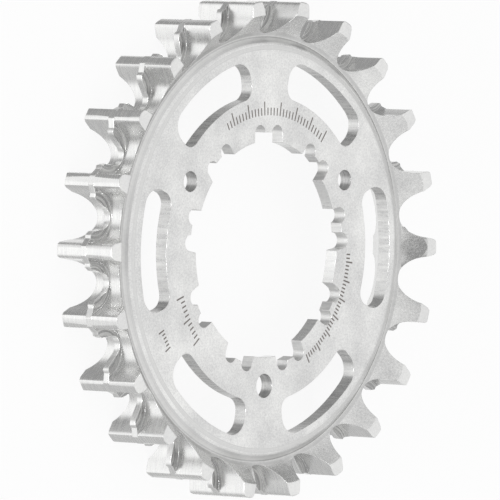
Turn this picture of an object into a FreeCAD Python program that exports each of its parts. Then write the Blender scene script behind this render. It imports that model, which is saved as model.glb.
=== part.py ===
"""Rear sprocket for a toothed bicycle drive belt, made from one turned and milled blank.

Millimetres. +Z is the axis of rotation, z = 0 is the plane of the back ends of the teeth,
and the flat face of the plate points up. One tooth and one slot are centred on +X, and one
groove of the bore spline is centred on +Y.
"""
import math
import os

import FreeCAD
import Part
import Sketcher

NODE = "belt_sprocket"

SIZES = [
    # belt ring
    ("teeth", 22, "number of teeth"),
    ("crest_radius", 37.85, "outside radius over the tooth crests"),
    ("belt_width", 11.0, "length of a tooth along the axis"),
    ("land_depth", 2.15, "radial length of the flat end of a tooth"),
    ("crest_bevel", 0.15, "bevel where the crest meets the flat ends"),
    ("cone_angle", 47.0, "slope of the cones behind the flat ends"),
    # gap between two teeth, outside the middle web
    ("tooth_depth", 5.12, "depth of a gap below the crests"),
    ("scoop_radius", 3.75, "radius of the round bottom of a gap"),
    ("flank_angle", 17.7, "slope of a flank from the gap's centre line"),
    ("crest_corner", 0.65, "length that a crest corner's rounding takes from flank and crest"),
    # middle web that keeps the belt on track
    ("web_width", 1.1, "thickness of the web between the teeth"),
    ("web_shift", 0.15, "distance of the web's middle behind the middle of the teeth"),
    ("web_depth", 4.9, "depth of the web's gap below the crests"),
    ("web_scoop", 1.6, "radius of the round bottom of the web's gap"),
    ("web_flank", 18.0, "slope of the web's flank"),
    ("web_shoulder", 1.5, "depth below the crests where the web's flank ends"),
    ("bench_depth", 0.85, "depth of the flat bench on the web's shoulder"),
    ("bench_edge", 2.45, "distance of the bench's outer edge from the tooth's middle"),
    ("bench_foot", 1.9, "distance of its inner edge, where the ramp to the crest starts"),
    ("web_crest", 0.75, "half width of the crest where the ramp ends"),
    # plate
    ("plate_recess", 2.02, "depth of the plate's face below the teeth's ends"),
    ("plate_thickness", 2.1, "thickness of the plate"),
    ("foot_margin", 0.2, "step outward from the gaps' bottom to the foot of the front cone"),
    ("foot_bevel", 0.6, "radial width of the bevel in the corner inside that foot"),
    ("foot_rise", 0.3, "rise of that bevel"),
    ("foot_strip", 0.25, "width of the strip between the bevel and the rounded edge"),
    ("rim_reach", 2.1, "radial width of the rounded edge"),
    ("rim_drop", 1.15, "fall of the rounded edge"),
    ("back_bevel", 0.6, "bevel in the corner between the plate and the back cone"),
    # bore spline
    ("spline_count", 9, "number of grooves in the bore"),
    ("spline_tip", 16.42, "radius between the grooves"),
    ("spline_floor", 17.72, "radius of a groove's floor"),
    ("groove_half", 3.2, "half width of a groove"),
    ("relief_radius", 1.22, "round relief in each corner of a groove"),
    ("relief_centre", 17.58, "distance of a relief's centre from the axis, along the groove"),
    # slots and holes
    ("slot_count", 6, "number of slots"),
    ("slot_margin", 1.0, "distance from a slot to the rounded edge"),
    ("slot_width", 5.8, "radial width of a slot"),
    ("slot_half_angle", 20.4, "half the angle that a slot takes up"),
    ("slot_inner_corner", 2.0, "radius of a slot's inner corners"),
    ("slot_outer_corner", 2.8, "radius of a slot's outer corners"),
    ("hole_circle", 20.72, "radius of the circle through the three holes"),
    ("hole_radius", 1.55, "radius of the two smaller holes"),
    ("large_hole_radius", 1.82, "radius of the larger hole"),
]

# how far a cutting outline reaches past the metal that it cuts
OVERRUN = 1.5
# the ramp's line runs on past the crest by this share of its length
RAMP_OVERRUN = 0.15
# straight facets that make up the rounded edge of the plate
RIM_FACETS = 2
# a crest corner is rounded by two facets, and this share of its length places their shared edge
CORNER_BOW = 0.28

doc = FreeCAD.newDocument(NODE)


def fill_sheet():
    """Put every driving dimension into the spreadsheet, one row each."""
    sheet = doc.addObject("Spreadsheet::Sheet", "sizes")
    for row, (alias, number, note) in enumerate(SIZES, start=1):
        sheet.set(f"A{row}", note)
        sheet.set(f"B{row}", str(number))
        sheet.setAlias(f"B{row}", alias)
    doc.recompute()
    return sheet


fill_sheet()


class Size:
    """A number together with the spreadsheet expression that gives it."""

    def __init__(self, number, text):
        self.number = number
        self.text = text

    def join(self, other, sign, number):
        return Size(number, f"({self.text} {sign} {size(other).text})")

    def __add__(self, other):
        return self.join(other, "+", self.number + size(other).number)

    def __sub__(self, other):
        return self.join(other, "-", self.number - size(other).number)

    def __mul__(self, other):
        return self.join(other, "*", self.number * size(other).number)

    def __truediv__(self, other):
        return self.join(other, "/", self.number / size(other).number)

    def __neg__(self):
        return Size(-self.number, f"(0 - {self.text})")


def size(source):
    """Size of a spreadsheet alias, of a plain number, or of a Size itself."""
    if isinstance(source, Size):
        return source
    if isinstance(source, str):
        number = next(number for alias, number, note in SIZES if alias == source)
        return Size(number, f"sizes.{source}")
    return Size(source, repr(source))


def sine(angle):
    return Size(math.sin(math.radians(angle.number)), f"sin({angle.text})")


def cosine(angle):
    return Size(math.cos(math.radians(angle.number)), f"cos({angle.text})")


def tangent(angle):
    return Size(math.tan(math.radians(angle.number)), f"tan({angle.text})")


def arcsine(value):
    return Size(math.degrees(math.asin(value.number)), f"asin({value.text})")


def root(value):
    return Size(math.sqrt(value.number), f"sqrt({value.text})")


def origin_plane(body, role):
    return next(item for item in body.Origin.OriginFeatures if item.Role == role)


def new_sketch(body, name, plane, height=None, turn=None):
    """Sketch on one of the body's planes, raised to a height and turned about the axis."""
    sketch = body.newObject("Sketcher::SketchObject", name)
    sketch.AttachmentSupport = (origin_plane(body, plane), [""])
    sketch.MapMode = "FlatFace"
    lift = height.number if height else 0.0
    angle = turn.number if turn else 0.0
    sketch.AttachmentOffset = FreeCAD.Placement(
        FreeCAD.Vector(0, 0, lift), FreeCAD.Rotation(FreeCAD.Vector(0, 0, 1), angle))
    if height:
        sketch.setExpression("AttachmentOffset.Base.z", height.text)
    if turn:
        sketch.setExpression("AttachmentOffset.Rotation.Angle", turn.text)
    return sketch


def drive(sketch, constraint, label, value):
    """Add one dimension to a sketch and bind it to its expression."""
    sketch.addConstraint(constraint)
    index = sketch.ConstraintCount - 1
    sketch.renameConstraint(index, label)
    sketch.setExpression(f"Constraints.{label}", value.text)


def draw_outline(sketch, corners, arcs):
    """Closed outline through the corners, straight except where arcs has an entry.

    arcs maps the index of a side's first corner to (centre, radius, counter-clockwise).
    """
    count = len(corners)
    points = [FreeCAD.Vector(x.number, y.number, 0) for x, y in corners]
    heads, tails = [], []
    for i in range(count):
        first, last = points[i], points[(i + 1) % count]
        if i not in arcs:
            geometry = sketch.addGeometry(Part.LineSegment(first, last), False)
            heads.append((geometry, 1))
            tails.append((geometry, 2))
            continue
        centre, radius, forward = arcs[i]
        middle = FreeCAD.Vector(centre[0].number, centre[1].number, 0)
        start, end = (first, last) if forward else (last, first)
        angles = [math.atan2(p.y - middle.y, p.x - middle.x) for p in (start, end)]
        circle = Part.Circle(middle, FreeCAD.Vector(0, 0, 1), radius.number)
        geometry = sketch.addGeometry(Part.ArcOfCircle(circle, *angles), False)
        heads.append((geometry, 1 if forward else 2))
        tails.append((geometry, 2 if forward else 1))
    for i in range(count):
        sketch.addConstraint(Sketcher.Constraint("Coincident", *tails[i - 1], *heads[i]))
    for i, (x, y) in enumerate(corners):
        across = Sketcher.Constraint("DistanceX", -1, 1, *heads[i], x.number)
        drive(sketch, across, f"across{i}", x)
        if y.number == 0:
            sketch.addConstraint(Sketcher.Constraint("PointOnObject", *heads[i], -1))
            continue
        along = Sketcher.Constraint("DistanceY", -1, 1, *heads[i], y.number)
        drive(sketch, along, f"along{i}", y)
    for i, (centre, radius, forward) in arcs.items():
        limit = Sketcher.Constraint("Radius", heads[i][0], radius.number)
        drive(sketch, limit, f"bend{i}", radius)


def pad(body, name, sketch, length, both_ways=False, downward=False):
    feature = body.newObject("PartDesign::Pad", name)
    feature.Profile = sketch
    feature.Length = length.number
    feature.setExpression("Length", length.text)
    feature.Midplane = both_ways
    feature.Reversed = downward
    sketch.Visibility = False
    return feature


def pocket_through(body, name, sketch):
    feature = body.newObject("PartDesign::Pocket", name)
    feature.Profile = sketch
    feature.Type = "ThroughAll"
    sketch.Visibility = False
    return feature


def pattern_around(body, name, features, count, whole=False):
    """Repeat features, or the whole body, evenly around the axis."""
    feature = body.newObject("PartDesign::PolarPattern", name)
    if whole:
        feature.TransformMode = "Whole shape"
    else:
        feature.Originals = features
    feature.Axis = (origin_plane(body, "Z_Axis"), [""])
    feature.Angle = 360.0
    feature.Occurrences = int(count.number)
    feature.setExpression("Occurrences", count.text)
    body.Tip = feature
    return feature


def mirrored(half):
    """Corners of an outline that is symmetric about its own x axis, from one half."""
    return half + [(x, -y) for x, y in reversed(half)]


# named heights and places that several features share
web_middle = size("belt_width") / 2 - size("web_shift")
web_front = web_middle + size("web_width") / 2
web_back = web_middle - size("web_width") / 2
plate_front = size("belt_width") - size("plate_recess")
plate_back = plate_front - size("plate_thickness")
half_pitch = size(180.0) / size("teeth")
outline_reach = size("crest_radius") + OVERRUN
root_radius = size("crest_radius") - size("tooth_depth")
foot_radius = root_radius + size("foot_margin")
strip_end = foot_radius - size("foot_bevel")
rim_end = strip_end - size("foot_strip")
rim_start = rim_end - size("rim_reach")
slot_outer = rim_start - size("slot_margin")
slot_inner = slot_outer - size("slot_width")


def tooth_section(body):
    """Half section of the turned blank, from the bore to the crest and back."""
    land = size("crest_radius") - size("land_depth")
    cone = size("cone_angle")
    cone_foot = size("belt_width") - (land - foot_radius) * tangent(cone)
    back_corner = land - plate_back / tangent(cone)
    back_bevel = size("back_bevel")
    bevel_radius = size("crest_radius") - size("crest_bevel")
    bevel_front = size("belt_width") - size("crest_bevel")
    # the rounded edge leaves the plate's face almost without a break
    reach, drop = size("rim_reach"), size("rim_drop")
    rim_radius = (reach * reach + drop * drop) / (drop * 2)
    rim_turn = arcsine(reach / rim_radius)
    rim = []
    for step in range(1, RIM_FACETS + 1):
        turn = rim_turn * step / RIM_FACETS
        fall = rim_radius - rim_radius * cosine(turn)
        rim.append((rim_start + rim_radius * sine(turn), plate_front - fall))
    corners = [
        (size("spline_tip"), plate_back),
        (size("spline_tip"), plate_front),
        (rim_start, plate_front),
        *rim,
        (strip_end, cone_foot - size("foot_rise")),
        (foot_radius, cone_foot),
        (land, size("belt_width")),
        (bevel_radius, size("belt_width")),
        (size("crest_radius"), bevel_front),
        (size("crest_radius"), size("crest_bevel")),
        (bevel_radius, size(0.0)),
        (land, size(0.0)),
        (back_corner + back_bevel * cosine(cone), plate_back - back_bevel * sine(cone)),
        (back_corner - back_bevel, plate_back),
    ]
    sketch = new_sketch(body, "tooth_section", "XZ_Plane")
    draw_outline(sketch, corners, {})
    return sketch


def turned_blank(body):
    sketch = tooth_section(body)
    feature = body.newObject("PartDesign::Revolution", "turned_blank")
    feature.Profile = sketch
    feature.ReferenceAxis = (sketch, ["V_Axis"])
    feature.Angle = 360.0
    sketch.Visibility = False
    return feature


def spline_grooves(body):
    """Grooves of the bore, each with a round relief in both of its corners."""
    half, relief = size("groove_half"), size("relief_radius")
    tip, floor, height = size("spline_tip"), size("spline_floor"), size("relief_centre")
    inset = half - relief
    # where the relief's circle crosses the floor's, on the side of the groove's middle
    apart = root(height * height + inset * inset)
    along = (floor * floor + apart * apart - relief * relief) / (apart * 2)
    aside = root(floor * floor - along * along)
    floor_height = (along * height + aside * inset) / apart
    edge = (along * inset - aside * height) / apart
    upper = [(tip - OVERRUN, half), (height, half), (floor_height, edge)]
    corners = mirrored(upper)
    left = (height, inset)
    right = (height, -inset)
    nowhere = (size(0.0), size(0.0))
    arcs = {1: (left, relief, False), 2: (nowhere, floor, False), 3: (right, relief, False)}
    sketch = new_sketch(body, "groove_outline", "XY_Plane", plate_front, size(90.0))
    draw_outline(sketch, corners, arcs)
    first = pocket_through(body, "first_groove", sketch)
    return pattern_around(body, "bore_spline", [first], size("spline_count"))


def lightening_slots(body):
    """Curved slots with rounded corners."""
    inner_bend, outer_bend = size("slot_inner_corner"), size("slot_outer_corner")
    turn = size("slot_half_angle")

    def on_end(distance, offset):
        return (distance * cosine(turn) + offset * sine(turn),
                distance * sine(turn) - offset * cosine(turn))

    def along(centre, radius, centre_radius):
        return centre[0] * radius / centre_radius, centre[1] * radius / centre_radius

    inner_ring = slot_inner + inner_bend
    outer_ring = slot_outer - outer_bend
    inner_run = root(inner_ring * inner_ring - inner_bend * inner_bend)
    outer_run = root(outer_ring * outer_ring - outer_bend * outer_bend)
    inner_centre = on_end(inner_run, inner_bend)
    outer_centre = on_end(outer_run, outer_bend)
    none = size(0.0)
    upper = [
        along(inner_centre, slot_inner, inner_ring),
        on_end(inner_run, none),
        on_end(outer_run, none),
        along(outer_centre, slot_outer, outer_ring),
    ]
    flip = [(x, -y) for x, y in (inner_centre, outer_centre)]
    axis = (none, none)
    arcs = {
        0: (inner_centre, inner_bend, False),
        2: (outer_centre, outer_bend, False),
        3: (axis, slot_outer, False),
        4: (flip[1], outer_bend, False),
        6: (flip[0], inner_bend, False),
        7: (axis, slot_inner, True),
    }
    sketch = new_sketch(body, "slot_outline", "XY_Plane", plate_front)
    draw_outline(sketch, mirrored(upper), arcs)
    first = pocket_through(body, "first_slot", sketch)
    return pattern_around(body, "slots", [first], size("slot_count"))


def plate_holes(body):
    """Three holes on one circle: two alike and a larger one at the bottom."""
    for name, angle, radius in (
            ("right_hole", 30.0, "hole_radius"),
            ("left_hole", 150.0, "hole_radius"),
            ("large_hole", 270.0, "large_hole_radius")):
        sketch = new_sketch(body, f"{name}_outline", "XY_Plane", plate_front, size(angle))
        middle = FreeCAD.Vector(size("hole_circle").number, 0, 0)
        circle = Part.Circle(middle, FreeCAD.Vector(0, 0, 1), size(radius).number)
        sketch.addGeometry(circle, False)
        sketch.addConstraint(Sketcher.Constraint("PointOnObject", 0, 3, -1))
        place = Sketcher.Constraint("DistanceX", -1, 1, 0, 3, size("hole_circle").number)
        drive(sketch, place, "circle_radius", size("hole_circle"))
        bore = Sketcher.Constraint("Radius", 0, size(radius).number)
        drive(sketch, bore, "hole_size", size(radius))
        pocket_through(body, name, sketch)


def flank_run(centre, sine_term, cosine_term, bend, radius):
    """Distance along a flank from its round bottom to the point at a given radius."""
    miss = centre * sine_term - bend
    return root(radius * radius - miss * miss) - centre * cosine_term


def wing_outline(sketch):
    """Gap outline on both sides of the web: round bottom, flanks, rounded crest corners."""
    scoop, corner, crest = size("scoop_radius"), size("crest_corner"), size("crest_radius")
    lean_sine, lean_cosine = sine(size("flank_angle")), cosine(size("flank_angle"))
    centre = root_radius + scoop
    foot = (centre - scoop * lean_sine, scoop * lean_cosine)
    run = flank_run(centre, lean_sine, lean_cosine, scoop, crest)
    # the sharp edge that flank and crest would share, and the steps from it along both
    edge = (foot[0] + run * lean_cosine, foot[1] + run * lean_sine)
    inward = (-(corner * lean_cosine), -(corner * lean_sine))
    sideways = (-(corner * edge[1] / crest), corner * edge[0] / crest)
    corner_foot = [place + step for place, step in zip(edge, inward)]
    corner_middle = [place + (step + other) * CORNER_BOW
                     for place, step, other in zip(edge, inward, sideways)]
    corner_top = [place + step for place, step in zip(edge, sideways)]
    upper = [foot, corner_foot, corner_middle, corner_top, (outline_reach, corner_top[1])]
    draw_outline(sketch, mirrored(upper), {9: ((centre, size(0.0)), scoop, False)})


def web_outline(sketch):
    """Gap outline through the web: narrower, with a bench and a ramp up to the crest."""
    scoop, crest = size("web_scoop"), size("crest_radius")
    lean_sine, lean_cosine = sine(size("web_flank")), cosine(size("web_flank"))
    centre = crest - size("web_depth") + scoop
    foot = (centre - scoop * lean_sine, scoop * lean_cosine)
    run = flank_run(centre, lean_sine, lean_cosine, scoop, crest - size("web_shoulder"))
    shoulder = (foot[0] + run * lean_cosine, foot[1] + run * lean_sine)

    def on_tooth(radius, offset):
        """Point at a distance from the middle line of the tooth beside the gap."""
        turn = half_pitch - offset / radius * (180.0 / math.pi)
        return radius * cosine(turn), radius * sine(turn)

    bench_radius = crest - size("bench_depth")
    bench_edge = on_tooth(bench_radius, size("bench_edge"))
    bench_foot = on_tooth(bench_radius, size("bench_foot"))
    ramp_end = on_tooth(crest, size("web_crest"))
    past = [end + (end - start) * RAMP_OVERRUN for start, end in zip(bench_foot, ramp_end)]
    upper = [foot, shoulder, bench_edge, bench_foot, past, (outline_reach, past[1])]
    draw_outline(sketch, mirrored(upper), {11: ((centre, size(0.0)), scoop, False)})


def gap_cutter():
    """Everything that is milled away between two teeth, repeated for every gap."""
    body = doc.addObject("PartDesign::Body", "gap_cutter")
    body.AllowCompound = True
    front = new_sketch(body, "front_wing_outline", "XY_Plane", web_front, half_pitch)
    wing_outline(front)
    pad(body, "front_wing", front, size("belt_width") - web_front + OVERRUN)
    back = new_sketch(body, "back_wing_outline", "XY_Plane", web_back, half_pitch)
    wing_outline(back)
    pad(body, "back_wing", back, web_back + OVERRUN, downward=True)
    web = new_sketch(body, "web_gap_outline", "XY_Plane", web_middle, half_pitch)
    web_outline(web)
    pad(body, "web_gap", web, size("web_width"), both_ways=True)
    doc.recompute()
    pattern_around(body, "all_gaps", [], size("teeth"), whole=True)
    return body


def sprocket():
    """The turned blank with its bore, slots and holes, and the gaps cut between its teeth."""
    body = doc.addObject("PartDesign::Body", NODE)
    body.Label = NODE
    turned_blank(body)
    spline_grooves(body)
    lightening_slots(body)
    plate_holes(body)
    gaps = body.newObject("PartDesign::Boolean", "tooth_gaps")
    gaps.setObjects([gap_cutter()])
    gaps.Type = "Cut"
    body.Tip = gaps
    doc.recompute()
    return body


def check(part):
    """Stop before anything is written if a feature failed or the solid is not sound."""
    for item in doc.Objects:
        if "Invalid" in item.State or "Error" in item.State:
            raise RuntimeError(f"{item.Name}: {item.State}")
    shape = part.Shape
    if shape.isNull() or not shape.isValid() or len(shape.Solids) != 1:
        raise RuntimeError(f"{part.Label} is not one valid solid")


part = sprocket()
check(part)
os.makedirs("parts", exist_ok=True)
part.Shape.exportStep(f"parts/{part.Label}.step")
bounds = part.Shape.BoundBox
print(f"{part.Label}: {part.Shape.Volume:.1f} cubic mm, {len(part.Shape.Faces)} faces")
print(f"size {bounds.XLength:.3f} x {bounds.YLength:.3f} x {bounds.ZLength:.3f} mm")
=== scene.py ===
"""Looks of the belt drive sprocket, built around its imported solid."""
import math

import bmesh
import bpy
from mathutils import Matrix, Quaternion, Vector


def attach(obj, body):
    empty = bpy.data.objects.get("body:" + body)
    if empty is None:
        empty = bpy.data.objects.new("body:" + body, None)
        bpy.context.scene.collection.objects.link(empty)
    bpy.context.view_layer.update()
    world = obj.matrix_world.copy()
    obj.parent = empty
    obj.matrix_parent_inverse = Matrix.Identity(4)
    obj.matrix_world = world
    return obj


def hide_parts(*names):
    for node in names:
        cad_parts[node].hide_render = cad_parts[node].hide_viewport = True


MM = 0.001
NODE = "belt_sprocket"

# camera, fitted to the photograph: angles in degrees, lengths in millimetres
CAMERA_AZIMUTH = 177.675
CAMERA_ELEVATION = 40.589
CAMERA_ROLL = 92.63
CAMERA_TARGET = (-1.6634, -0.1701, 7.0482)
CAMERA_DISTANCE = 1762.0
CAMERA_LENS = 837.35
CAMERA_SENSOR = 36.0
# nearest and farthest distance that it sees, in metres
CAMERA_CLIP = (0.05, 20.0)

# lamp: places and size in metres, power in watts
LAMP_PLACE = (-1.2, -0.05, 0.1)
LAMP_TARGET = (0, 0, 0.006)
LAMP_SIZE = 0.4
LAMP_POWER = 6.0

# Surround that lights the metal. Each row is a ramp over one part of the direction looked in:
# where it starts and ends, and the strength or share there. A strength of 1 is white. The
# picture's left and right are -X and +X, and its top and bottom are +Y and -Y.
# the horizon's strength over Y, what X adds on the camera's side, and the rise over Z to white
HORIZON_ACROSS = (-0.8, 0.8, 0.75, 0.3)
HORIZON_NEAR = (-0.9, -0.3, 0.3, 0.0)
TENT_RISE = (0.1, 0.4, 0.0, 1.0)
# cloth below the horizon: its strength over Y, white between a greyer top and bottom
CLOTH_TOP = (0.36, 0.6, 1.03, 0.34)
CLOTH_BOTTOM = (-0.56, -0.3, 0.54, 1.03)
# how much lower the cloth starts over Y, and its share over Z
CLOTH_SINK = (0.0, 0.3, 0.0, 0.3)
CLOTH_EDGE = (-0.2, -0.02, 1.0, 0.0)
# darker opening around the camera, over the cosine of the angle to it
CAMERA_OPENING = (0.94, 0.985, 1.0, 0.25)
# grey that the camera sees in place of the surround
BACKDROP_GREY = 0.975

# floor: half its width in metres, its depth below the part in millimetres, the grey of its
# matt share, which takes the shadow, and the share that is plain white
FLOOR_REACH = 3.0
FLOOR_SINK = 0.02
FLOOR_GREY = 0.85
FLOOR_GLOW = 0.9

# steel: range of the fine surface's tone that the two greys span, how far the roughness goes
# up and down with it, the light grey's blue, and the depth of the relief in millimetres
TONE_RANGE = (0.2, 0.8)
ROUGHNESS_SPREAD = 0.06
LIGHT_BLUE = 0.985
RELIEF_DEPTH = 0.02
# radius in millimetres by which edges are softened in the shading alone
SOFT_EDGE = 0.12
SOFT_EDGE_SAMPLES = 4
# lathe rings: how much they move on with the height; mill arcs: how much with the angle
RING_DRIFT = 0.7
ARC_DRIFT = 0.05

# heights and radii that the solid's regions are told apart by, in millimetres
TOP = 11.0
PLATE_FRONT = 8.98
PLATE_BACK = 6.88
WEB_FRONT = 5.9
WEB_BACK = 4.8
RIM_START = 29.97
RIM_END = 32.05
CONE_FOOT = 32.93
GAP_BOTTOM = 32.0
CREST = 37.6
# walls within the bore's radius are the spline's, and those within the smaller one its lands
BORE = 19.2
BORE_LAND = 16.6
# the three holes: circle and directions of their centres, and how far their walls reach
HOLE_CIRCLE = 20.72
HOLE_ANGLES = (30.0, 150.0, 270.0)
HOLE_REACH = 2.0
# how far a facet's middle may lie off the height or radius of its region
SLACK = 0.12
# most that a wall's normal points up or down, and least that a crest's points outward
UPRIGHT = 0.3
OUTWARD = 0.9

# gaps: half the angle between two teeth in degrees, and the radius of the cutter's centre
HALF_PITCH = 180.0 / 22
GAP_CENTRE = 36.48

# points closer than this many metres are one, and facets that turn by less than this many
# degrees make one flat face
WELD = 1e-6
FLAT = 0.5
# rounding of the plate's edge in millimetres: least and most turn in degrees of the edges that
# take it, how far inside the rim and above the plate's back they lie, radius and segments
RIM_TURN = (8.0, 45.0)
RIM_INSIDE = 0.3
RIM_ABOVE = 0.8
RIM_ROUNDING = 0.28
RIM_SEGMENTS = 3
# outer edges that turn by more than this many degrees are broken, in millimetres
SHARP_TURN = 30.0
EDGE_BREAK = 0.035
# edges that turn by less than this many degrees are shaded round; the second limit is for the
# edges that run along the crests, and LENGTHWISE is the least that those point up or down
SMOOTH = 32.0
CREST_SMOOTH = 65.0
LENGTHWISE = 0.9

# graduated marks etched into the plate: inner and outer radius in millimetres, first and last
# angle and the step between two marks in degrees
SCALES = [
    (20.3, 22.4, 53.0, 117.0, 2.0),
    (18.8, 20.3, -59.0, -3.0, 1.75),
    (20.2, 21.9, -160.0, -139.0, 2.1),
    (26.2, 27.5, -153.0, -146.5, 1.3),
]
# width of a mark and of its soft border in millimetres, how often a long one comes, and how
# far the others reach from the middle radius to the outer one
MARK_WIDTH = 0.22
MARK_BORDER = 0.05
LONG_EVERY = 5
SHORT_REACH = 0.1
INK = (0.1, 0.08, 0.07, 1.0)
INK_SHARE = 0.9

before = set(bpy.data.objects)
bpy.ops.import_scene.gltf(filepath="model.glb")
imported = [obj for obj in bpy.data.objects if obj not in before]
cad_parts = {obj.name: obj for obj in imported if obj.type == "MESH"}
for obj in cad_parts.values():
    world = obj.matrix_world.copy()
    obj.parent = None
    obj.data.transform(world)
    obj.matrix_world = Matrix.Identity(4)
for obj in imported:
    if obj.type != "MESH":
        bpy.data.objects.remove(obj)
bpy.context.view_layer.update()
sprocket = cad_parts[NODE]


def grey(level, blue=1.0):
    """Colour of one grey, with its blue taken down where it is warm."""
    return (level, level, level * blue, 1.0)


def add_object(name, data):
    """New object, linked into the scene."""
    thing = bpy.data.objects.new(name, data)
    bpy.context.scene.collection.objects.link(thing)
    return thing


def camera_side():
    """Direction from the sprocket to the camera."""
    azimuth, elevation = math.radians(CAMERA_AZIMUTH), math.radians(CAMERA_ELEVATION)
    return Vector((math.cos(azimuth) * math.cos(elevation),
                   math.sin(azimuth) * math.cos(elevation),
                   math.sin(elevation)))


def make_camera():
    """Long lens from the left and above, rolled so that +X runs to the right."""
    back = camera_side()
    data = bpy.data.cameras.new("camera")
    data.sensor_width = CAMERA_SENSOR
    data.lens = CAMERA_LENS
    data.clip_start, data.clip_end = CAMERA_CLIP
    camera = add_object("camera", data)
    camera.rotation_mode = "QUATERNION"
    level = back.to_track_quat("Z", "Y")
    camera.rotation_quaternion = level @ Quaternion((0, 0, 1), math.radians(CAMERA_ROLL))
    camera.location = Vector(CAMERA_TARGET) * MM + back * CAMERA_DISTANCE * MM
    bpy.context.scene.camera = camera


def make_lamp():
    """Round soft box on the camera's side, aimed at the sprocket."""
    data = bpy.data.lights.new("side_lamp", "AREA")
    data.shape = "DISK"
    data.size = LAMP_SIZE
    data.energy = LAMP_POWER
    lamp = add_object("side_lamp", data)
    lamp.location = LAMP_PLACE
    aim = Vector(LAMP_TARGET) - Vector(LAMP_PLACE)
    lamp.rotation_mode = "QUATERNION"
    lamp.rotation_quaternion = aim.to_track_quat("-Z", "Y")


class Nodes:
    """Short way to add and join shader nodes."""

    def __init__(self, tree):
        self.tree = tree
        tree.nodes.clear()

    def add(self, kind, **settings):
        """New node with its settings."""
        node = self.tree.nodes.new(kind)
        for key, value in settings.items():
            setattr(node, key, value)
        return node

    def plain(self, kind, level):
        """New shader node of one even grey."""
        node = self.add(kind)
        node.inputs["Color"].default_value = grey(level)
        return node

    def feed(self, target, value):
        """Join a socket to another one, or set it to a plain value."""
        if isinstance(value, bpy.types.NodeSocket):
            self.tree.links.new(value, target)
        else:
            target.default_value = value

    def show(self, kind, shader):
        """Join a shader to the tree's output."""
        self.feed(self.add(kind).inputs["Surface"], shader)

    def math(self, operation, first, second=0.0):
        """Result of a sum on one or two numbers."""
        node = self.add("ShaderNodeMath", operation=operation)
        for socket, value in zip(node.inputs, (first, second)):
            self.feed(socket, value)
        return node.outputs[0]

    def vector(self, operation, first, second=None):
        """Result of a sum on one or two vectors."""
        node = self.add("ShaderNodeVectorMath", operation=operation)
        self.feed(node.inputs[0], first)
        if second is not None:
            self.feed(node.inputs[1], second)
        return node.outputs["Value" if operation in ("LENGTH", "DOT_PRODUCT") else "Vector"]

    def split(self, vector):
        """The three parts of a vector, by name."""
        node = self.add("ShaderNodeSeparateXYZ")
        self.feed(node.inputs[0], vector)
        return node.outputs

    def join(self, x, y):
        """Vector from two parts."""
        node = self.add("ShaderNodeCombineXYZ")
        self.feed(node.inputs["X"], x)
        self.feed(node.inputs["Y"], y)
        return node.outputs[0]

    def ramp(self, value, low, high, out_low, out_high):
        """Value that goes from out_low to out_high between low and high, and stays beyond."""
        node = self.add("ShaderNodeMapRange", clamp=True)
        for key, number in (("From Min", low), ("From Max", high),
                            ("To Min", out_low), ("To Max", out_high)):
            node.inputs[key].default_value = number
        self.feed(node.inputs["Value"], value)
        return node.outputs["Result"]

    def noise(self, vector, scale, detail, roughness):
        """Noise around 0.5."""
        node = self.add("ShaderNodeTexNoise")
        node.inputs["Scale"].default_value = scale
        node.inputs["Detail"].default_value = detail
        node.inputs["Roughness"].default_value = roughness
        self.feed(node.inputs["Vector"], vector)
        return node.outputs["Fac"]

    def blend(self, share, first, second):
        """Colour that changes from the first to the second by the share."""
        node = self.add("ShaderNodeMix", data_type="RGBA")
        self.feed(node.inputs["Factor"], share)
        self.feed(node.inputs["A"], first)
        self.feed(node.inputs["B"], second)
        return node.outputs["Result"]

    def overlay(self, share, under, over):
        """Shader that changes from one to the other by the share."""
        node = self.add("ShaderNodeMixShader")
        self.feed(node.inputs["Fac"], share)
        self.feed(node.inputs[1], under)
        self.feed(node.inputs[2], over)
        return node.outputs[0]


def make_world():
    """White studio tent: even above, dimmer at the horizon, dark where the camera looks in."""
    world = bpy.data.worlds.new("studio")
    bpy.context.scene.world = world
    world.use_nodes = True
    n = Nodes(world.node_tree)
    towards = n.add("ShaderNodeTexCoord").outputs["Generated"]
    parts = n.split(towards)
    low = n.math("ADD", n.ramp(parts["Y"], *HORIZON_ACROSS),
                 n.ramp(parts["X"], *HORIZON_NEAR))
    tent = n.math("MULTIPLY", n.ramp(parts["Z"], *TENT_RISE), n.math("SUBTRACT", 1.0, low))
    tent = n.math("ADD", tent, low)
    cloth = n.math("MINIMUM", n.ramp(parts["Y"], *CLOTH_TOP),
                   n.ramp(parts["Y"], *CLOTH_BOTTOM))
    sunk = n.math("ADD", parts["Z"], n.ramp(parts["Y"], *CLOTH_SINK))
    below = n.ramp(sunk, *CLOTH_EDGE)
    tent = n.math("ADD", n.math("MULTIPLY", tent, n.math("SUBTRACT", 1.0, below)),
                  n.math("MULTIPLY", cloth, below))
    near_camera = n.vector("DOT_PRODUCT", towards, camera_side())
    tent = n.math("MULTIPLY", tent, n.ramp(near_camera, *CAMERA_OPENING))
    surround = n.plain("ShaderNodeBackground", 1.0)
    n.feed(surround.inputs["Strength"], tent)
    backdrop = n.plain("ShaderNodeBackground", BACKDROP_GREY)
    path = n.add("ShaderNodeLightPath")
    seen = n.overlay(path.outputs["Is Camera Ray"], surround.outputs[0], backdrop.outputs[0])
    n.show("ShaderNodeOutputWorld", seen)


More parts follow.
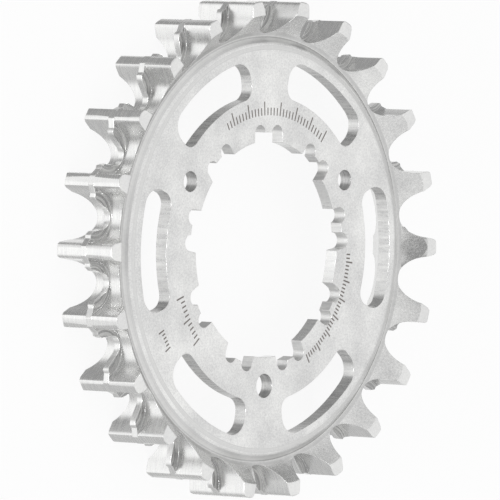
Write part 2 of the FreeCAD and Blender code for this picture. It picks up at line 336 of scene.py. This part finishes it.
def make_floor():
    """Pale floor that takes a faint shadow and that the metal looks through."""
    mesh = bpy.data.meshes.new("floor")
    reach, depth = FLOOR_REACH, FLOOR_SINK * MM
    corners = [(-reach, -reach), (reach, -reach), (reach, reach), (-reach, reach)]
    mesh.from_pydata([(x, y, -depth) for x, y in corners], [], [(0, 1, 2, 3)])
    floor = add_object("floor", mesh)
    material = bpy.data.materials.new("floor")
    material.use_nodes = True
    n = Nodes(material.node_tree)
    matt = n.plain("ShaderNodeBsdfDiffuse", FLOOR_GREY)
    glow = n.plain("ShaderNodeEmission", 1.0)
    path = n.add("ShaderNodeLightPath").outputs
    direct = n.math("MAXIMUM", path["Is Camera Ray"], path["Is Transmission Ray"])
    seen = n.overlay(n.math("MULTIPLY", direct, FLOOR_GLOW), matt.outputs[0], glow.outputs[0])
    # the metal shows the surround below it, as if it lay on glass
    through = n.math("MAXIMUM", path["Is Glossy Ray"], path["Is Shadow Ray"])
    seen = n.overlay(through, seen, n.add("ShaderNodeBsdfTransparent").outputs[0])
    n.show("ShaderNodeOutputMaterial", seen)
    mesh.materials.append(material)


def steel(name, dark, light, roughness, tone_of, relief=0.25, marked=False):
    """Bare steel between two greys.

    tone_of(n, place) gives the fine surface as a number around 0.5, which sets the grey, the
    roughness and the relief. place is in millimetres. A marked face carries the etched scales.
    """
    material = bpy.data.materials.new(name)
    material.use_nodes = True
    n = Nodes(material.node_tree)
    metal = n.add("ShaderNodeBsdfPrincipled")
    metal.inputs["Metallic"].default_value = 1.0
    place = n.vector("MULTIPLY", n.add("ShaderNodeTexCoord").outputs["Object"], [1.0 / MM] * 3)
    tone = tone_of(n, place)
    color = n.blend(n.ramp(tone, *TONE_RANGE, 0.0, 1.0), grey(dark), grey(light, LIGHT_BLUE))
    if marked:
        color = n.blend(n.math("MULTIPLY", etched(n, place), INK_SHARE), color, INK)
    n.feed(metal.inputs["Base Color"], color)
    finest, coarsest = roughness - ROUGHNESS_SPREAD, roughness + ROUGHNESS_SPREAD
    n.feed(metal.inputs["Roughness"], n.ramp(tone, *TONE_RANGE, finest, coarsest))
    soft_edge = n.add("ShaderNodeBevel", samples=SOFT_EDGE_SAMPLES)
    soft_edge.inputs["Radius"].default_value = SOFT_EDGE * MM
    dents = n.add("ShaderNodeBump")
    dents.inputs["Strength"].default_value = relief
    dents.inputs["Distance"].default_value = RELIEF_DEPTH * MM
    n.feed(dents.inputs["Height"], tone)
    n.feed(dents.inputs["Normal"], soft_edge.outputs[0])
    n.feed(metal.inputs["Normal"], dents.outputs[0])
    n.show("ShaderNodeOutputMaterial", metal.outputs[0])
    return material


def radius_of(n, place):
    """Distance from the axis."""
    return n.vector("LENGTH", n.vector("MULTIPLY", place, (1, 1, 0)))


def angle_of(n, place):
    """Angle around the axis in degrees, from +X towards +Y."""
    parts = n.split(place)
    return n.math("DEGREES", n.math("ARCTAN2", parts["Y"], parts["X"]))


def etched(n, place):
    """Share of the etched marks: short radial strokes along an arc, one row per scale."""
    radius = radius_of(n, place)
    angle = angle_of(n, place)
    total = None
    for inner, outer, first, last, step in SCALES:
        middle = (inner + outer) / 2
        turn = n.math("SUBTRACT", angle, first)
        # distance to the nearest mark, turned from degrees into millimetres
        aside = n.math("MULTIPLY", n.math("PINGPONG", turn, step / 2), math.radians(middle))
        stroke = n.ramp(aside, MARK_WIDTH / 2 - MARK_BORDER, MARK_WIDTH / 2 + MARK_BORDER,
                        1.0, 0.0)
        long_mark = n.math("LESS_THAN", n.math("PINGPONG", turn, step * LONG_EVERY / 2),
                           step / 2)
        top = n.math("ADD", middle + (outer - middle) * SHORT_REACH,
                     n.math("MULTIPLY", long_mark, (outer - middle) * (1 - SHORT_REACH)))
        above = n.math("GREATER_THAN", radius, inner)
        below = n.math("LESS_THAN", radius, top)
        # a quarter step more at both ends, so that the first and last marks are whole
        along = n.math("ABSOLUTE", n.math("SUBTRACT", angle, (first + last) / 2))
        span = n.math("LESS_THAN", along, (last - first) / 2 + step / 4)
        row = n.math("MULTIPLY", n.math("MULTIPLY", stroke, span),
                     n.math("MULTIPLY", above, below))
        total = row if total is None else n.math("MAXIMUM", total, row)
    return total


def layered(n, marks, marks_ramp, grain, grain_ramp):
    """Tone of a surface: its marks and a weaker grain, each drawn out by its own ramp."""
    return n.math("ADD", n.ramp(marks, *marks_ramp), n.ramp(grain, *grain_ramp))


def fine_grain(n, place):
    """Grain under the cutter marks."""
    return n.noise(place, scale=3.0, detail=3.0, roughness=0.7)


def blasted(n, place):
    """Fine even grain of a bead-blasted face, with faint clouds."""
    grain = n.noise(place, scale=3.6, detail=4.0, roughness=0.8)
    cloud = n.noise(place, scale=0.15, detail=2.0, roughness=0.55)
    return layered(n, grain, (0.2, 0.8, 0.1, 0.8), cloud, (0.3, 0.7, -0.1, 0.2))


def turned(n, place):
    """Fine rings left by a lathe tool."""
    drift = n.math("MULTIPLY", n.split(place)["Z"], RING_DRIFT)
    rings = n.noise(n.join(radius_of(n, place), drift), scale=4.0, detail=3.0, roughness=0.7)
    grain = n.noise(place, scale=2.5, detail=3.0, roughness=0.6)
    return layered(n, rings, (0.2, 0.8, 0.1, 0.9), grain, (0.3, 0.7, -0.1, 0.1))


def swept(n, place):
    """Arcs that an end mill leaves around the middle of each gap."""
    radius = radius_of(n, place)
    angle = angle_of(n, place)
    from_tooth = n.math("PINGPONG", angle, HALF_PITCH)
    from_gap = n.math("RADIANS", n.math("SUBTRACT", HALF_PITCH, from_tooth))
    ahead = n.math("MULTIPLY", radius, n.math("COSINE", from_gap))
    aside = n.math("MULTIPLY", radius, n.math("SINE", from_gap))
    offset = n.join(n.math("SUBTRACT", ahead, GAP_CENTRE), aside)
    arc = n.join(n.vector("LENGTH", offset), n.math("MULTIPLY", angle, ARC_DRIFT))
    lines = n.noise(arc, scale=3.2, detail=2.0, roughness=0.6)
    return layered(n, lines, (0.4, 0.68, 0.15, 0.85),
                   fine_grain(n, place), (0.3, 0.7, -0.1, 0.1))


def streaked(stretch, scale):
    """Finish with cutter marks: noise drawn out along the directions with a small stretch."""
    def tone_of(n, place):
        streaks = n.noise(n.vector("MULTIPLY", place, stretch), scale,
                          detail=3.0, roughness=0.65)
        return layered(n, streaks, (0.2, 0.8, 0.1, 0.9),
                       fine_grain(n, place), (0.3, 0.7, -0.12, 0.12))
    return tone_of


def make_finishes_and_painted_shade():
    """Material of each region, by name; the web faces' darker greys are painted shade."""
    around = streaked((0.12, 0.12, 1.0), 3.0)
    along = streaked((1.0, 1.0, 0.1), 2.2)
    # dark grey, light grey, roughness, fine surface and, where it isn't the usual one, relief
    looks = {
        "plate_face": (0.58, 0.92, 0.42, blasted, 0.4),
        "tooth_end": (0.68, 0.86, 0.36, blasted),
        "rim": (0.57, 0.76, 0.36, turned, 0.12),
        "rim_foot": (0.46, 0.7, 0.34, turned, 0.15),
        "cone": (0.48, 0.84, 0.26, blasted, 0.6),
        "tooth_crest": (0.84, 0.96, 0.26, around, 0.07),
        "tooth_flank": (0.8, 0.93, 0.28, around, 0.06),
        # the web faces' darker greys are painted shade for the hollows between the teeth;
        # their arcs are mill marks
        "web_face_with_painted_shade": (0.32, 0.58, 0.32, swept, 0.2),
        "web_edge": (0.82, 0.94, 0.3, around, 0.06),
        "slot_wall": (0.54, 0.84, 0.3, along),
        "hole_wall": (0.42, 0.72, 0.32, around),
        "bore_wall": (0.8, 0.97, 0.3, along),
        "groove_wall": (0.69, 0.88, 0.42, along),
        "back": (0.55, 0.85, 0.36, turned),
    }
    return {name: steel(name, *look, marked=name == "plate_face")
            for name, look in looks.items()}


def in_hole(x, y):
    """Whether a point of a wall belongs to one of the plate's three holes."""
    for angle in HOLE_ANGLES:
        turn = math.radians(angle)
        aside = (x - HOLE_CIRCLE * math.cos(turn), y - HOLE_CIRCLE * math.sin(turn))
        if math.hypot(*aside) < HOLE_REACH:
            return True
    return False


def region_of(centre, normal):
    """Name of the finish on a facet, from where it lies and which way it faces; the web faces'
    finish is darkened with painted shade.
    """
    x, y, z = centre / MM
    radius = math.hypot(x, y)
    outward = (normal.x * x + normal.y * y) / radius
    upright = abs(normal.z) < UPRIGHT
    if upright and in_hole(x, y):
        return "hole_wall"
    if upright and radius < BORE:
        return "bore_wall" if radius < BORE_LAND else "groove_wall"
    if upright and radius > CREST and outward > OUTWARD:
        return "tooth_crest"
    if upright and radius > GAP_BOTTOM:
        if WEB_BACK + SLACK < z < WEB_FRONT - SLACK:
            return "web_edge"
        return "tooth_flank"
    if upright:
        return "slot_wall"
    if radius > GAP_BOTTOM and WEB_BACK - SLACK < z < WEB_FRONT + SLACK:
        return "web_face_with_painted_shade"
    if normal.z < 0:
        return "back"
    if radius < RIM_START and z > PLATE_FRONT - SLACK:
        return "plate_face"
    if radius < CONE_FOOT:
        return "rim" if radius < RIM_END else "rim_foot"
    return "tooth_end" if z > TOP - SLACK else "cone"


def bevel(work, edges, width, segments):
    """Cut edges back by a width in millimetres and round them with segments."""
    bmesh.ops.bevel(work, geom=edges, offset=width * MM, offset_type="OFFSET",
                    segments=segments, profile=0.5, affect="EDGES", loop_slide=True)


def turn_of(edge):
    """Angle between an edge's two faces in degrees, positive where the metal bulges out."""
    return math.degrees(edge.calc_face_angle_signed(0.0))


def place_of(edge):
    """Radius and height of an edge's middle, in millimetres."""
    middle = (edge.verts[0].co + edge.verts[1].co) / (2 * MM)
    return math.hypot(middle.x, middle.y), middle.z


def on_rim(edge):
    """Whether an edge lies between the facets of the plate's rounded edge."""
    radius, height = place_of(edge)
    return (RIM_TURN[0] < turn_of(edge) < RIM_TURN[1]
            and RIM_START - RIM_INSIDE < radius < RIM_END - RIM_INSIDE
            and height > PLATE_BACK + RIM_ABOVE)


def round_edges(work):
    """Round the plate's edge between its facets, then break the sharp outer edges."""
    bevel(work, [edge for edge in work.edges if on_rim(edge)], RIM_ROUNDING, RIM_SEGMENTS)
    bevel(work, [edge for edge in work.edges if turn_of(edge) > SHARP_TURN], EDGE_BREAK, 1)


def shade_round(work):
    """Shade every face round, up to the edges that turn too far for it."""
    for face in work.faces:
        face.smooth = True
    for edge in work.edges:
        direction = (edge.verts[0].co - edge.verts[1].co).normalized()
        along_crest = abs(direction.z) > LENGTHWISE and place_of(edge)[0] > CREST
        edge.smooth = abs(turn_of(edge)) < (CREST_SMOOTH if along_crest else SMOOTH)


def rounded_sprocket():
    """Copy of the solid with whole flat faces, its own finishes, painted shade on the web
    faces, and rounded edges.
    """
    finishes_and_painted_shade = make_finishes_and_painted_shade()
    order = list(finishes_and_painted_shade)
    work = bmesh.new()
    work.from_mesh(sprocket.data)
    bmesh.ops.remove_doubles(work, verts=work.verts, dist=WELD)
    for face in work.faces:
        face.material_index = order.index(region_of(face.calc_center_median(), face.normal))
    bmesh.ops.dissolve_limit(work, angle_limit=math.radians(FLAT), verts=work.verts,
                             edges=work.edges, delimit={"MATERIAL"})
    round_edges(work)
    shade_round(work)
    mesh = bpy.data.meshes.new("rounded_sprocket")
    work.to_mesh(mesh)
    work.free()
    # the solid's own normals don't fit the rounded copy
    if "custom_normal" in mesh.attributes:
        mesh.attributes.remove(mesh.attributes["custom_normal"])
    for name in order:
        mesh.materials.append(finishes_and_painted_shade[name])
    piece = add_object("rounded_sprocket", mesh)
    piece.matrix_world = sprocket.matrix_world
    normals = piece.modifiers.new("flat_faces_stay_flat", "WEIGHTED_NORMAL")
    normals.keep_sharp = True
    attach(piece, "root")
    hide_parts(NODE)


make_camera()
make_world()
make_floor()
make_lamp()
rounded_sprocket()

bpy.context.scene.view_settings.view_transform = "Standard"
